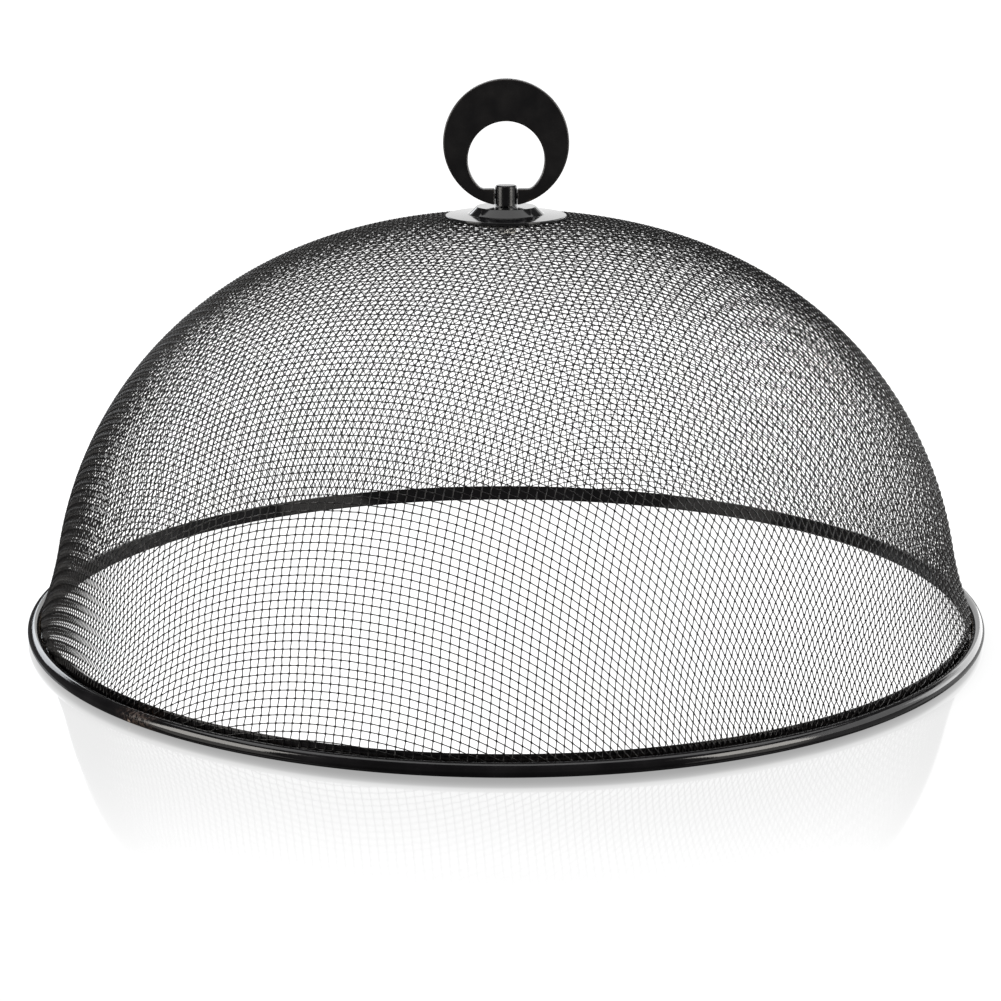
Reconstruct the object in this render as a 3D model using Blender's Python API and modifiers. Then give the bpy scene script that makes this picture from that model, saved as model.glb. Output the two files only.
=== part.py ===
"""Wire-mesh food cover: a pressed dome of mesh in a rolled steel rim, with a fold-down ring handle.

Metres, +Z up. The origin is the centre of the circle on which the rim rests.
The handle hinges on a pin along X, so that its flat face looks along Y.
"""

import math

import bmesh
import bpy
from mathutils import Matrix, Vector

PART_NAME = "mesh_food_cover"

# Clearances
SEAT_GAP = 0.0003
MESH_GAP = 0.00025
PIN_GAP = 0.00008
STUD_CLEARANCE = 0.0004
CUT_OVERRUN = 0.001

# Mesh dome: its middle surface, from the straight foot in the rim up to the crown
MESH_THICKNESS = 0.0009
DOME_BASE = 0.0045
DOME_RADIUS = 0.1649
DOME_RISE = 0.14315
SHOULDER_POWER = 2.25
CROWN_POWER = 2.03
FLARE_OUT = 0.00495
FLARE_BOTTOM = 0.0066
FLARE_TOP = 0.0315

# Mesh strands: a square net of equal strands draped on the dome
STRAND_PITCH = 0.0166
STRAND_WIDTH = 0.0014
NET_TURN = math.radians(-19)
HEM_STEP = 0.0105
SHORTEST_EDGE_SHARE = 0.14
SHORTEST_HOLE_SHARE = 0.05

# Rim: one steel strip, rolled outwards into a bead round the mesh's foot, its inner edge a flange
BEAD_DIAMETER = 0.0048
BEAD_LIP_ANGLE = math.radians(31)
RIM_SHEET = 0.0005
FLANGE_HEIGHT = 0.0062
FLANGE_FOOT_ROUND = 0.0006

# Top plate: a pressed hat with a turned-down edge, a brim that lies on the mesh and a raised flat top
PLATE_RADIUS = 0.0216
PLATE_SHEET = 0.0007
PLATE_EDGE_HEIGHT = 0.001
PLATE_EDGE_ROUND = 0.0003
PLATE_BRIM_RISE = 0.0003
PLATE_STEP_FOOT_RADIUS = 0.0136
PLATE_STEP_TOP_RADIUS = 0.0107
PLATE_STEP_RISE = 0.00275
PLATE_STEP_ROUND = 0.0005

# Stem, with its threaded stud
STEM_FOOT_RADIUS = 0.00397
STEM_TOP_RADIUS = 0.0038
STEM_HEIGHT = 0.00725
STEM_TOP_ROUND = 0.0008
STUD_RADIUS = 0.002
STUD_CHAMFER = 0.0004
STUD_BEYOND_NUT = 0.0012

# Backing washer and nut, under the crown of the mesh
WASHER_RADIUS = 0.014
WASHER_THICKNESS = 0.001
WASHER_EDGE_ROUND = 0.0003
NUT_FLATS = 0.007
NUT_HEIGHT = 0.0032
NUT_CHAMFER_HEIGHT = 0.0005

# Ring handle: a thick disc with a finger hole set low, and a gap for the stem in the bar below it
RING_RADIUS = 0.0224
RING_THICKNESS = 0.0044
RING_EDGE_ROUND = 0.0009
RING_CENTRE_ABOVE_PIN = 0.01905
HOLE_RADIUS = 0.0136
HOLE_CENTRE_ABOVE_PIN = 0.01305
BAR_TOP_ABOVE_PIN = 0.0026
HOLE_CORNER_ROUND = 0.0012
KNUCKLE_ROUND = 0.0007

# Hinge pin
PIN_ABOVE_STEM_FOOT = 0.0033
PIN_RADIUS = 0.001
PIN_SEAT_DEPTH = 0.0032

# Facets
RIM_SEGMENTS = 72
BEAD_STEPS = 6
CURL_STEPS = 4
TURNED_SEGMENTS = 32
STEM_SEGMENTS = 24
PIN_SEGMENTS = 16
HEX_SIDES = 6
ROUND_STEPS = 2
CORNER_STEPS = 3
RING_STEPS = 34
HOLE_STEPS = 24
BEVEL_SEGMENTS = 2
SMOOTH_ANGLE = math.radians(35)
MERGE_DISTANCE = 0.00001
BISECTIONS = 40

# Colours, linear RGB
RIM_BLACK = (0.010, 0.010, 0.012)
MESH_BLACK = (0.012, 0.012, 0.013)
HANDLE_BLACK = (0.011, 0.010, 0.010)
ZINC_GREY = (0.55, 0.56, 0.58)

# Places worked out from the sizes
FOOT_RADIUS = DOME_RADIUS + FLARE_OUT
FOOT_HEIGHT = RIM_SHEET + SEAT_GAP
FLANGE_OUTER_RADIUS = FOOT_RADIUS - MESH_THICKNESS / 2 - MESH_GAP
FLANGE_INNER_RADIUS = FLANGE_OUTER_RADIUS - RIM_SHEET
LIP_RADIUS = FOOT_RADIUS + MESH_THICKNESS / 2 + MESH_GAP
BEAD_RADIUS = BEAD_DIAMETER / 2
BEAD_CENTRE_RADIUS = LIP_RADIUS + BEAD_RADIUS * math.cos(BEAD_LIP_ANGLE)


def dome_height(radius):
    """Height of the mesh's middle surface at a distance from the axis, above its flare."""
    across = (radius / DOME_RADIUS) ** SHOULDER_POWER
    return DOME_BASE + DOME_RISE * (1.0 - across) ** (1.0 / CROWN_POWER)


PLATE_BOTTOM = dome_height(PLATE_RADIUS) + MESH_THICKNESS / 2 + SEAT_GAP
PLATE_BRIM_EDGE = PLATE_BOTTOM + PLATE_EDGE_HEIGHT
PLATE_STEP_FOOT = PLATE_BRIM_EDGE + PLATE_BRIM_RISE
PLATE_TOP = PLATE_STEP_FOOT + PLATE_STEP_RISE
STUD_HOLE_RADIUS = STUD_RADIUS + STUD_CLEARANCE
STEM_FOOT = PLATE_TOP + SEAT_GAP
STEM_TOP = STEM_FOOT + STEM_HEIGHT
PIN_HEIGHT = STEM_FOOT + PIN_ABOVE_STEM_FOOT
PIN_HOLE_RADIUS = PIN_RADIUS + PIN_GAP
KNUCKLE_FACE = STEM_FOOT_RADIUS + SEAT_GAP
WASHER_TOP = dome_height(WASHER_RADIUS) - MESH_THICKNESS / 2 - SEAT_GAP
WASHER_BOTTOM = WASHER_TOP - WASHER_THICKNESS
NUT_TOP = WASHER_BOTTOM - SEAT_GAP
NUT_BOTTOM = NUT_TOP - NUT_HEIGHT
NUT_CORNER_RADIUS = NUT_FLATS / 2 / math.cos(math.pi / HEX_SIDES)
STUD_END = NUT_BOTTOM - STUD_BEYOND_NUT


def clear_scene():
    for obj in list(bpy.data.objects):
        bpy.data.objects.remove(obj, do_unlink=True)


def make_collection(name):
    collection = bpy.data.collections.new(name)
    bpy.context.scene.collection.children.link(collection)
    return collection


def make_material(name, colour, roughness, metallic):
    material = bpy.data.materials.new(name)
    material.use_nodes = True
    shader = material.node_tree.nodes["Principled BSDF"]
    shader.inputs["Base Color"].default_value = (*colour, 1.0)
    shader.inputs["Roughness"].default_value = roughness
    shader.inputs["Metallic"].default_value = metallic
    return material


def place(obj, collection):
    """Moves a new object into one collection only."""
    for other in list(obj.users_collection):
        other.objects.unlink(obj)
    collection.objects.link(obj)
    return obj


def from_bmesh(name, bm, collection):
    mesh = bpy.data.meshes.new(name)
    bm.to_mesh(mesh)
    bm.free()
    return place_new(name, mesh, collection)


def place_new(name, data, collection):
    obj = bpy.data.objects.new(name, data)
    collection.objects.link(obj)
    return obj


def settle(obj):
    """Replaces an object's curve or modifiers by the mesh that they make."""
    graph = bpy.context.evaluated_depsgraph_get()
    mesh = bpy.data.meshes.new_from_object(obj.evaluated_get(graph))
    bm = bmesh.new()
    bm.from_mesh(mesh)
    bmesh.ops.remove_doubles(bm, verts=bm.verts, dist=MERGE_DISTANCE)
    bm.to_mesh(mesh)
    bm.free()
    settled = place_new(obj.name, mesh, obj.users_collection[0])
    settled.matrix_world = obj.matrix_world
    name = obj.name
    bpy.data.objects.remove(obj, do_unlink=True)
    settled.name = name
    return settled


def finish(obj, material):
    """Gives a piece its material, and shades it smooth but for its real edges."""
    obj.data.materials.clear()
    obj.data.materials.append(material)
    obj.data.shade_smooth()
    obj.data.set_sharp_from_angle(angle=SMOOTH_ANGLE)
    return obj


def arc(centre, radius, start, end, steps):
    """Points of an arc in a plane, both ends included."""
    points = []
    for step in range(steps + 1):
        angle = start + (end - start) * step / steps
        points.append((centre[0] + radius * math.cos(angle), centre[1] + radius * math.sin(angle)))
    return points


def turned(name, profile, closed, segments, collection):
    """A solid of revolution about Z, from (radius, height) points that run down its outer side."""
    bm = bmesh.new()
    corners = [bm.verts.new((radius, 0, height)) for radius, height in profile]
    for first, second in zip(corners, corners[1:]):
        bm.edges.new((first, second))
    if closed:
        bm.edges.new((corners[-1], corners[0]))
    obj = from_bmesh(name, bm, collection)
    screw = obj.modifiers.new("turn", "SCREW")
    screw.axis = "Z"
    screw.angle = math.tau
    screw.steps = segments
    screw.render_steps = segments
    screw.use_merge_vertices = True
    screw.merge_threshold = MERGE_DISTANCE
    return settle(obj)


def cylinder_cutter(name, radius, length, sides, centre, along_x, cutters):
    """A closed cylinder that cuts a round hole, along X or along Z."""
    turn = (0, math.pi / 2, 0) if along_x else (0, 0, 0)
    bpy.ops.mesh.primitive_cylinder_add(
        vertices=sides, radius=radius, depth=length, location=centre, rotation=turn
    )
    cutter = place(bpy.context.active_object, cutters)
    cutter.name = name
    cutter.hide_render = True
    cutter.display_type = "WIRE"
    return cutter


def boolean(obj, cutter, operation):
    modifier = obj.modifiers.new(operation.lower(), "BOOLEAN")
    modifier.operation = operation
    modifier.solver = "EXACT"
    modifier.object = cutter
    return settle(obj)


def rounded(corners):
    """Points of a closed outline whose (point, radius) corners are eased where the radius isn't zero."""
    points = []
    for index, (corner, radius) in enumerate(corners):
        if not radius:
            points.append(corner)
            continue
        here = Vector(corner)
        before = Vector(corners[index - 1][0])
        after = Vector(corners[(index + 1) % len(corners)][0])
        start = here + (before - here).normalized() * radius
        end = here + (after - here).normalized() * radius
        for step in range(CORNER_STEPS + 1):
            t = step / CORNER_STEPS
            point = start * (1 - t) ** 2 + here * (2 * t * (1 - t)) + end * t**2
            points.append((point.x, point.y))
    return points


def flare(height):
    """How far the mesh stands out from the plain dome at a height, to reach the rim."""
    rise = (FLARE_TOP - height) / (FLARE_TOP - FLARE_BOTTOM)
    return FLARE_OUT * max(0.0, min(1.0, rise)) ** 2


def outside_dome(point):
    """Negative inside the mesh's middle surface, zero on it and positive outside."""
    across = math.hypot(point.x, point.y) - flare(point.z)
    up = point.z - DOME_BASE
    spread = (max(0.0, across) / DOME_RADIUS) ** SHOULDER_POWER
    return spread + (max(0.0, up) / DOME_RISE) ** CROWN_POWER - 1.0


def dome_normal(point):
    """Outward unit normal of the mesh's middle surface."""
    step = MESH_THICKNESS
    slopes = []
    for axis in (Vector((step, 0, 0)), Vector((0, step, 0)), Vector((0, 0, step))):
        slopes.append(outside_dome(point + axis) - outside_dome(point - axis))
    return Vector(slopes).normalized()


def swing_onto_dome(centre, outward, upward, length):
    """The point of the dome at a length from a centre, found by swinging a strand on to it."""
    low, high = -math.pi / 2, math.pi / 2
    for _ in range(BISECTIONS):
        angle = (low + high) / 2
        point = centre + (outward * math.cos(angle) + upward * math.sin(angle)) * length
        if outside_dome(point) > 0:
            high = angle
        else:
            low = angle
    return point


def quarter_net():
    """Crossings of one quarter of the net, by row and column. Every strand between two is as long.

    The first row runs along the plane of symmetry, half a pitch from it. Each further crossing is
    a pitch from its neighbours in the last row and column, as cloth of square weave would lie.
    """
    half = STRAND_PITCH / 2
    first = swing_onto_dome(Vector((half, half, DOME_BASE)), Vector((0, 0, 0)), Vector((0, 0, 1)), DOME_RISE)
    net = {(0, 0): first}
    outward = Vector((1, 0, 0))
    column = 0
    while net[column, 0].z > FOOT_HEIGHT:
        here = net[column, 0]
        upward = Vector((-outward.z, 0, outward.x))
        there = swing_onto_dome(here, outward, upward, STRAND_PITCH)
        outward = (there - here).normalized()
        column += 1
        net[column, 0] = there
        net[0, column] = Vector((there.y, there.x, there.z))
    for total in range(2, 2 * column + 1):
        for i in range(1, total):
            j = total - i
            corners = [net.get(key) for key in ((i - 1, j - 1), (i, j - 1), (i - 1, j))]
            if None in corners or corners[0].z <= FOOT_HEIGHT:
                continue
            inner, right, left = corners
            middle = (right + left) / 2
            across = (right - left).normalized()
            reach = math.sqrt(STRAND_PITCH**2 - (right - left).length_squared / 4)
            outward = middle - inner
            outward = (outward - across * outward.dot(across)).normalized()
            upward = outward.cross(across)
            if upward.dot(dome_normal(middle)) < 0:
                upward = -upward
            net[i, j] = swing_onto_dome(middle, outward, upward, reach)
    return net


def whole_net():
    """The net of all four quarters, as a surface with one face to a mesh opening."""
    quarter = quarter_net()
    reach = 1 + max(i for i, j in quarter)
    bm = bmesh.new()
    crossings = {}
    for i in range(-reach, reach):
        for j in range(-reach, reach):
            row, column = max(i, -i - 1), max(j, -j - 1)
            point = quarter.get((row, column))
            if point is not None:
                x = point.x if i >= 0 else -point.x
                y = point.y if j >= 0 else -point.y
                crossings[i, j] = bm.verts.new((x, y, point.z))
    for i, j in list(crossings):
        corners = [crossings.get(key) for key in ((i, j), (i + 1, j), (i + 1, j + 1), (i, j + 1))]
        if None not in corners:
            bm.faces.new(corners)
    bmesh.ops.rotate(bm, verts=bm.verts, cent=(0, 0, 0), matrix=Matrix.Rotation(NET_TURN, 3, "Z"))
    return bm


def cut_edges(bm):
    return [edge for edge in bm.edges if edge.is_boundary]


def trim_net(bm):
    """Cuts the net level above its hem, evens the cut edge out and puts it on the hem's circle."""
    everything = bm.verts[:] + bm.edges[:] + bm.faces[:]
    bmesh.ops.bisect_plane(
        bm, geom=everything, plane_co=(0, 0, FLARE_BOTTOM), plane_no=(0, 0, 1), clear_inner=True
    )
    near_hem = [v for v in bm.verts if v.co.z < FLARE_BOTTOM + STRAND_PITCH]
    bmesh.ops.remove_doubles(bm, verts=near_hem, dist=STRAND_PITCH * SHORTEST_EDGE_SHARE)
    for edge in cut_edges(bm):
        while edge.calc_length() > HEM_STEP:
            pieces = math.ceil(edge.calc_length() / HEM_STEP)
            edge, _ = bmesh.utils.edge_split(edge, edge.verts[0], 1 / pieces)
    for vert in {v for edge in cut_edges(bm) for v in edge.verts}:
        on_circle(vert, FLARE_BOTTOM)


def on_circle(vert, height):
    """Moves a vertex to the circle of the mesh's foot, at a height."""
    spread = FOOT_RADIUS / math.hypot(vert.co.x, vert.co.y)
    vert.co = (vert.co.x * spread, vert.co.y * spread, height)


def add_hem(bm):
    """The closed band below the net, which stands in the rim."""
    band = bmesh.ops.extrude_edge_only(bm, edges=cut_edges(bm))
    for vert in [g for g in band["geom"] if isinstance(g, bmesh.types.BMVert)]:
        on_circle(vert, FOOT_HEIGHT)


def keeps_a_hole(face):
    """Whether a face is large enough to open up once its strands have their width."""
    shortest = STRAND_PITCH * SHORTEST_HOLE_SHARE
    for loop in face.loops:
        start_turn = math.tan(loop.calc_angle() / 2)
        end_turn = math.tan(loop.link_loop_next.calc_angle() / 2)
        lost = STRAND_WIDTH / 2 * (1 / start_turn + 1 / end_turn)
        if loop.edge.calc_length() - lost < shortest:
            return False
    return True


def make_mesh_dome(collection):
    """The mesh: strands of flat diamond section, raised on both sides of the middle surface."""
    bm = whole_net()
    trim_net(bm)
    openings = [face for face in bm.faces if keeps_a_hole(face)]
    add_hem(bm)
    ridge = list(bm.verts)
    bmesh.ops.inset_individual(bm, faces=openings, thickness=STRAND_WIDTH / 2, use_even_offset=True)
    bmesh.ops.delete(bm, geom=openings, context="FACES_ONLY")
    hole_edges = [vert for vert in bm.verts if vert not in set(ridge)]
    copy = bmesh.ops.duplicate(bm, geom=bm.verts[:] + bm.edges[:] + bm.faces[:])
    twin = copy["vert_map"]
    bmesh.ops.reverse_faces(bm, faces=[g for g in copy["geom"] if isinstance(g, bmesh.types.BMFace)])
    for vert in ridge:
        lift = dome_normal(vert.co) * (MESH_THICKNESS / 2)
        twin[vert].co = vert.co - lift
        vert.co += lift
    bmesh.ops.weld_verts(bm, targetmap={twin[vert]: vert for vert in hole_edges})
    bmesh.ops.bridge_loops(bm, edges=cut_edges(bm))
    bmesh.ops.recalc_face_normals(bm, faces=bm.faces)
    return from_bmesh("mesh_dome", bm, collection)


def make_rim(collection):
    """The rolled rim: down the flange, out along the resting face, round the bead and back inside."""
    bead_centre = (BEAD_CENTRE_RADIUS, BEAD_RADIUS)
    lip = math.pi - BEAD_LIP_ANGLE
    outside = arc(bead_centre, BEAD_RADIUS, lip, -math.pi / 2, BEAD_STEPS)
    foot_centre = (FLANGE_INNER_RADIUS + FLANGE_FOOT_ROUND, FLANGE_FOOT_ROUND)
    foot = arc(foot_centre, FLANGE_FOOT_ROUND, -math.pi / 2, -math.pi, ROUND_STEPS)
    flange = [(FLANGE_INNER_RADIUS, FLANGE_HEIGHT), (FLANGE_OUTER_RADIUS, FLANGE_HEIGHT)]
    trough = [(FLANGE_OUTER_RADIUS, RIM_SHEET)]
    inside = arc(bead_centre, BEAD_RADIUS - RIM_SHEET, -math.pi / 2, lip, CURL_STEPS)
    return turned("rim", outside + foot + flange + trough + inside, True, RIM_SEGMENTS, collection)


def under_corner(corner, before, after):
    """Where the under side of the pressed sheet turns, below a corner between two outward slopes."""
    reach = PLATE_SHEET / (1 + math.cos(after - before))
    inward = reach * (math.sin(before) + math.sin(after))
    down = reach * (math.cos(before) + math.cos(after))
    return (corner[0] - inward, corner[1] - down)


def make_top_plate(collection):
    """The pressed hat that spreads the handle's pull over the crown of the mesh."""
    wall = math.atan2(PLATE_STEP_RISE, PLATE_STEP_FOOT_RADIUS - PLATE_STEP_TOP_RADIUS)
    brim = math.atan2(PLATE_BRIM_RISE, PLATE_RADIUS - PLATE_STEP_FOOT_RADIUS)
    step_top = (PLATE_STEP_TOP_RADIUS, PLATE_TOP)
    step_foot = (PLATE_STEP_FOOT_RADIUS, PLATE_STEP_FOOT)
    ease = PLATE_STEP_ROUND * math.tan(wall / 2)
    round_centre = (PLATE_STEP_TOP_RADIUS - ease, PLATE_TOP - PLATE_STEP_ROUND)
    edge_centre = (PLATE_RADIUS - PLATE_EDGE_ROUND, PLATE_BRIM_EDGE - PLATE_EDGE_ROUND)
    under_edge = (PLATE_RADIUS - PLATE_SHEET, PLATE_BRIM_EDGE - PLATE_SHEET)
    outside = [(STUD_HOLE_RADIUS, PLATE_TOP)]
    outside += arc(round_centre, PLATE_STEP_ROUND, math.pi / 2, math.pi / 2 - wall, ROUND_STEPS)
    outside += [step_foot]
    outside += arc(edge_centre, PLATE_EDGE_ROUND, math.pi / 2 - brim, 0, ROUND_STEPS)
    outside += [(PLATE_RADIUS, PLATE_BOTTOM)]
    inside = [
        (under_edge[0], PLATE_BOTTOM),
        under_edge,
        under_corner(step_foot, wall, brim),
        under_corner(step_top, 0, wall),
        (STUD_HOLE_RADIUS, PLATE_TOP - PLATE_SHEET),
    ]
    return turned("top_plate", outside + inside, True, TURNED_SEGMENTS, collection)


def make_stem(collection, cutters):
    """The tapered stem, cross-bored for the hinge pin, and the stud that runs down through the crown."""
    round_centre = (STEM_TOP_RADIUS - STEM_TOP_ROUND, STEM_TOP - STEM_TOP_ROUND)
    profile = [(0, STEM_TOP)]
    profile += arc(round_centre, STEM_TOP_ROUND, math.pi / 2, 0, ROUND_STEPS)
    profile += [
        (STEM_FOOT_RADIUS, STEM_FOOT),
        (STUD_RADIUS, STEM_FOOT),
        (STUD_RADIUS, STUD_END + STUD_CHAMFER),
        (STUD_RADIUS - STUD_CHAMFER, STUD_END),
        (0, STUD_END),
    ]
    stem = turned("stem", profile, False, STEM_SEGMENTS, collection)
    length = 2 * (STEM_FOOT_RADIUS + CUT_OVERRUN)
    bore = cylinder_cutter(
        "stem_bore", PIN_HOLE_RADIUS, length, PIN_SEGMENTS, (0, 0, PIN_HEIGHT), True, cutters
    )
    return boolean(stem, bore, "DIFFERENCE")


def make_backing_washer(collection):
    """The broad washer that bears on the mesh from inside."""
    top_centre = (WASHER_RADIUS - WASHER_EDGE_ROUND, WASHER_TOP - WASHER_EDGE_ROUND)
    bottom_centre = (WASHER_RADIUS - WASHER_EDGE_ROUND, WASHER_BOTTOM + WASHER_EDGE_ROUND)
    profile = [(STUD_HOLE_RADIUS, WASHER_TOP)]
    profile += arc(top_centre, WASHER_EDGE_ROUND, math.pi / 2, 0, ROUND_STEPS)
    profile += arc(bottom_centre, WASHER_EDGE_ROUND, 0, -math.pi / 2, ROUND_STEPS)
    profile += [(STUD_HOLE_RADIUS, WASHER_BOTTOM)]
    return turned("backing_washer", profile, True, TURNED_SEGMENTS, collection)


def make_nut(collection, cutters):
    """The hexagon nut, with the corners of both ends turned off."""
    bpy.ops.mesh.primitive_cylinder_add(
        vertices=HEX_SIDES, radius=NUT_CORNER_RADIUS, depth=NUT_HEIGHT,
        location=(0, 0, (NUT_TOP + NUT_BOTTOM) / 2),
    )
    nut = place(bpy.context.active_object, collection)
    nut.name = "nut"
    chamfer = [
        (0, NUT_TOP + CUT_OVERRUN),
        (NUT_FLATS / 2, NUT_TOP + CUT_OVERRUN),
        (NUT_FLATS / 2, NUT_TOP),
        (NUT_CORNER_RADIUS + CUT_OVERRUN, NUT_TOP - NUT_CHAMFER_HEIGHT - CUT_OVERRUN),
        (NUT_CORNER_RADIUS + CUT_OVERRUN, NUT_BOTTOM + NUT_CHAMFER_HEIGHT + CUT_OVERRUN),
        (NUT_FLATS / 2, NUT_BOTTOM),
        (NUT_FLATS / 2, NUT_BOTTOM - CUT_OVERRUN),
        (0, NUT_BOTTOM - CUT_OVERRUN),
    ]
    blank = turned("nut_chamfer", chamfer, False, STEM_SEGMENTS, cutters)
    blank.hide_render = True
    blank.display_type = "WIRE"
    nut = boolean(nut, blank, "INTERSECT")
    length = NUT_HEIGHT + 2 * CUT_OVERRUN
    middle = (0, 0, (NUT_TOP + NUT_BOTTOM) / 2)
    bore = cylinder_cutter(
        "nut_bore", STUD_RADIUS + PIN_GAP, length, STEM_SEGMENTS, middle, False, cutters
    )
    return boolean(nut, bore, "DIFFERENCE")


def ring_outline():
    """Outline of the handle about its pin: X to the right, Y upwards. It is open where the stem stands."""
    ring_centre = (0, RING_CENTRE_ABOVE_PIN)
    hole_centre = (0, HOLE_CENTRE_ABOVE_PIN)
    bar_start = -math.acos(KNUCKLE_FACE / RING_RADIUS)
    rim = arc(ring_centre, RING_RADIUS, bar_start, math.pi - bar_start, RING_STEPS)
    flat = -math.asin((HOLE_CENTRE_ABOVE_PIN - BAR_TOP_ABOVE_PIN) / HOLE_RADIUS)
    hole = arc(hole_centre, HOLE_RADIUS, math.pi - flat, flat, HOLE_STEPS)
    corners = [(rim[0], KNUCKLE_ROUND)]
    corners += [(point, 0) for point in rim[1:-1]]
    corners += [(rim[-1], KNUCKLE_ROUND)]
    corners += [((-KNUCKLE_FACE, BAR_TOP_ABOVE_PIN), KNUCKLE_ROUND)]
    corners += [(hole[0], HOLE_CORNER_ROUND)]
    corners += [(point, 0) for point in hole[1:-1]]
    corners += [(hole[-1], HOLE_CORNER_ROUND)]
    corners += [((KNUCKLE_FACE, BAR_TOP_ABOVE_PIN), KNUCKLE_ROUND)]
    return rounded(corners)


def make_ring_handle(collection, cutters):
    """The ring, cut from its outline, with eased edges and a blind pin hole in each knuckle."""
    outline = ring_outline()
    curve = bpy.data.curves.new("ring_handle", "CURVE")
    curve.dimensions = "2D"
    curve.fill_mode = "BOTH"
    curve.extrude = RING_THICKNESS / 2
    spline = curve.splines.new("POLY")
    spline.points.add(len(outline) - 1)
    for point, (x, y) in zip(spline.points, outline):
        point.co = (x, y, 0, 1)
    spline.use_cyclic_u = True
    ring = place_new("ring_handle", curve, collection)
    ring = settle(ring)
    bevel = ring.modifiers.new("eased_edges", "BEVEL")
    bevel.width = RING_EDGE_ROUND
    bevel.segments = BEVEL_SEGMENTS
    bevel.limit_method = "ANGLE"
    bevel.angle_limit = SMOOTH_ANGLE
    ring = settle(ring)
    length = 2 * (KNUCKLE_FACE + PIN_SEAT_DEPTH)
    bore = cylinder_cutter("knuckle_bore", PIN_HOLE_RADIUS, length, PIN_SEGMENTS, (0, 0, 0), True, cutters)
    return boolean(ring, bore, "DIFFERENCE")


def make_hinge_pin(collection):
    """The pin, held in the ring's knuckles and turning in the stem."""
    length = 2 * (KNUCKLE_FACE + PIN_SEAT_DEPTH - SEAT_GAP)
    bpy.ops.mesh.primitive_cylinder_add(
        vertices=PIN_SEGMENTS, radius=PIN_RADIUS, depth=length, rotation=(0, math.pi / 2, 0)
    )
    pin = place(bpy.context.active_object, collection)
    pin.name = "hinge_pin"
    return pin


def hang_on_pin(hinge, pieces, upright):
    """Parents the moving pieces to an empty on the pin's axis, the ring's flat outline stood upright."""
    for piece in pieces:
        piece.parent = hinge
    upright.rotation_euler = (math.pi / 2, 0, 0)


def build():
    clear_scene()
    parts = make_collection(PART_NAME)
    cutters = make_collection("cutters")

    enamel = make_material("black_enamel", RIM_BLACK, 0.22, 0.0)
    mesh_paint = make_material("mesh_paint", MESH_BLACK, 0.35, 0.0)
    handle_black = make_material("handle_black", HANDLE_BLACK, 0.42, 0.0)
    zinc = make_material("zinc_plate", ZINC_GREY, 0.35, 1.0)

    finish(make_rim(parts), enamel)
    finish(make_mesh_dome(parts), mesh_paint)
    finish(make_top_plate(parts), enamel)
    finish(make_stem(parts, cutters), enamel)
    finish(make_backing_washer(parts), zinc)
    finish(make_nut(parts, cutters), zinc)
    ring = finish(make_ring_handle(parts, cutters), handle_black)
    pin = finish(make_hinge_pin(parts), zinc)

    hinge = place_new("handle_hinge", None, parts)
    hinge.location = (0, 0, PIN_HEIGHT)
    hang_on_pin(hinge, (ring, pin), ring)


build()
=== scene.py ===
"""Looks of the wire-mesh food cover: its woven wires, enamel, handle, studio light and camera.

Metres, +Z up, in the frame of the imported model. The photograph looks along +Y.
"""

import math
import bmesh
import bpy
import numpy as np
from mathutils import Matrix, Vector


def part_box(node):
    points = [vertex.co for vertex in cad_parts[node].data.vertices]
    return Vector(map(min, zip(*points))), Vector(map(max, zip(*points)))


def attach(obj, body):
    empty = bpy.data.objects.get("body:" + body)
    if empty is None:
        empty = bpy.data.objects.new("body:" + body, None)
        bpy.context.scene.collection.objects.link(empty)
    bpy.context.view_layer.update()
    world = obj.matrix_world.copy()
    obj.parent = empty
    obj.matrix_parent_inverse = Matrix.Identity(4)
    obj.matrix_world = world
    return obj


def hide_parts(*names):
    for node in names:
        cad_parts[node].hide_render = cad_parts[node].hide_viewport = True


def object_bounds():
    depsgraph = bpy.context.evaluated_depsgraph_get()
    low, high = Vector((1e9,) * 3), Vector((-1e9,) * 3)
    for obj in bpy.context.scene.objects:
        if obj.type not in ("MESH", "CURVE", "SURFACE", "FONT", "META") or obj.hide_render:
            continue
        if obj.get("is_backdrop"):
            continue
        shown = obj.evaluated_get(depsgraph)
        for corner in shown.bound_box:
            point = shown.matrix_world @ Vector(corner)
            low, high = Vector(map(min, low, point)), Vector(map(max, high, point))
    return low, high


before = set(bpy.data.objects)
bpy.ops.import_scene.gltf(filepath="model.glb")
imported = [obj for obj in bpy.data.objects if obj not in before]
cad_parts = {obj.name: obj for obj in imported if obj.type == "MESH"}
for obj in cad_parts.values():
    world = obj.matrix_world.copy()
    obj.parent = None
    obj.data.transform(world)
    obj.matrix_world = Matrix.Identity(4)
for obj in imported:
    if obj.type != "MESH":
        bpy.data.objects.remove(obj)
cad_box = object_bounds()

# Mesh dome: the middle surface of the weave
DOME_BASE = 0.0045
DOME_RADIUS = 0.1649
DOME_RISE = 0.14315
SHOULDER_POWER = 2.25
CROWN_POWER = 2.03
FLARE_OUT = 0.00495
FLARE_BOTTOM = 0.0066
FLARE_TOP = 0.0315

# Woven wires
WIRE_RADIUS = 0.00018
WEAVE_LIFT = 0.00018
PITCH_ALONG = 0.0029
PITCH_ACROSS = 0.00258
NET_TURN = math.radians(-19)
WIRE_END_HEIGHT = 0.0022
WIRE_HOLE_RADIUS = 0.0027
WIRE_SIDES = 5
KNOT_SHARE = 1.65
KNOT_REACH_SHARE = 0.19
WIRE_GROUPS = 4
BISECTIONS = 34
SHORTEST_NORMAL = 1e-12

# Rolled rim
FOOT_RADIUS = DOME_RADIUS + FLARE_OUT
SLOT_HALF = 0.0007
RIM_SHEET = 0.0005
BEAD_RADIUS = 0.0024
BEAD_LIP_ANGLE = math.radians(31)
FLANGE_HEIGHT = 0.0062
FLANGE_ROUND = 0.0006
SHEET_ROUND = 0.00016
SEAM_TURN = math.radians(-44.5)
SEAM_GAP = 0.00022

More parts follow.
